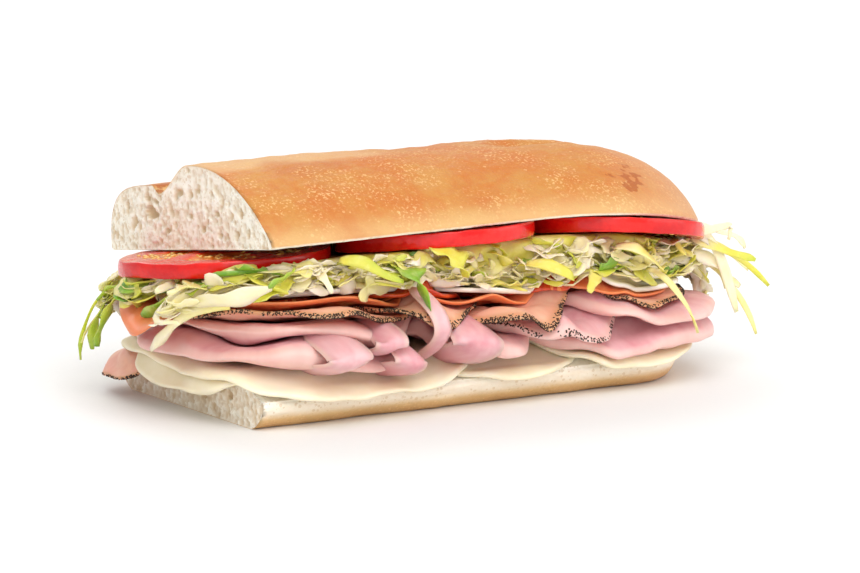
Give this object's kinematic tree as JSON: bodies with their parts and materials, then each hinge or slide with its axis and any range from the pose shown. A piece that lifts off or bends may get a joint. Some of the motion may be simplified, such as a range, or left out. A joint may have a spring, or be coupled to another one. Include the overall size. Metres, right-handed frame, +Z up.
{
  "type": "submarine sandwich",
  "caption": "Half of a crusty submarine roll cut across at one end, filled with cheese, folded ham, cured pork, pepperoni, onion, shredded lettuce and tomato.",
  "frame": {"origin": "middle of the flat underside of the bottom bread, on the surface that the sandwich rests on", "axes": "+X along the roll from the cut end to the rounded heel, -Y towards the front side of the picture, +Z up"},
  "size_m": [0.1792, 0.0958, 0.0669],
  "materials": {
    "bread": "baked roll: matt golden crust with pale flour blisters, open cream crumb at the cuts",
    "cheese": "smooth pale cream cheese slice with a soft waxy sheen and a few pepper specks",
    "ham": "moist pink cooked ham slice, smooth with a soft sheen",
    "pepper_ham": "pink-brown ham slice with a rim of crushed black pepper",
    "capicola": "thin cured pork slice, orange-red with paler fat",
    "pepperoni": "thin oily orange-red pepperoni slice with fine fat marbling",
    "onion": "wet translucent white onion rings",
    "tomato": "wet red tomato slice, glossy skin at the rim, seeds and gel in the hollows",
    "lettuce": "shredded iceberg lettuce, white ribs to yellow and mid green leaf"
  },
  "bodies": {
    "root": {"bread_base": "bread", "pepper_ham_1": "pepper_ham", "cheese_1": "cheese", "cheese_2": "cheese", "cheese_3": "cheese", "cheese_4": "cheese", "ham_1": "ham", "ham_2": "ham", "ham_3": "ham", "ham_4": "ham", "ham_5": "ham", "ham_6": "ham", "pepper_ham_2": "pepper_ham", "pepper_ham_3": "pepper_ham", "pepper_ham_4": "pepper_ham", "pepper_ham_5": "pepper_ham", "capicola_1": "capicola", "capicola_2": "capicola", "capicola_3": "capicola", "pepperoni_1": "pepperoni", "pepperoni_2": "pepperoni", "pepperoni_3": "pepperoni", "onion_1": "onion", "onion_2": "onion", "onion_3": "onion", "tomato_1": "tomato", "tomato_2": "tomato", "tomato_3": "tomato", "bread_top": "bread", "lettuce": "lettuce"}
  },
  "joints": []
}
